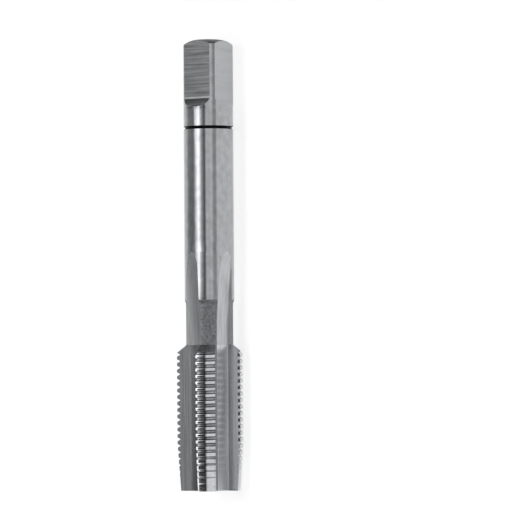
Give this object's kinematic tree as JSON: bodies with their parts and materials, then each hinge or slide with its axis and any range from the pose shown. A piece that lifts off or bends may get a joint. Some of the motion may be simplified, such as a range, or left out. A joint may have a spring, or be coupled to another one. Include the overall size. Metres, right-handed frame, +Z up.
{
  "type": "thread tap",
  "caption": "Roughing hand tap with a fluted, tapered pipe thread, a reduced neck, a round shank with a ring groove and a drive square.",
  "frame": {"origin": "middle of the cutting end, on the tool's axis", "axes": "+Y along the axis from the cutting end to the drive square; +Z up, with the tool lying on its side"},
  "size_m": [0.0082, 0.063, 0.0082],
  "materials": {
    "tool_steel": "ground high-speed steel, with a darker matte neck"
  },
  "bodies": {
    "root": {"tap": "tool_steel"}
  },
  "joints": []
}
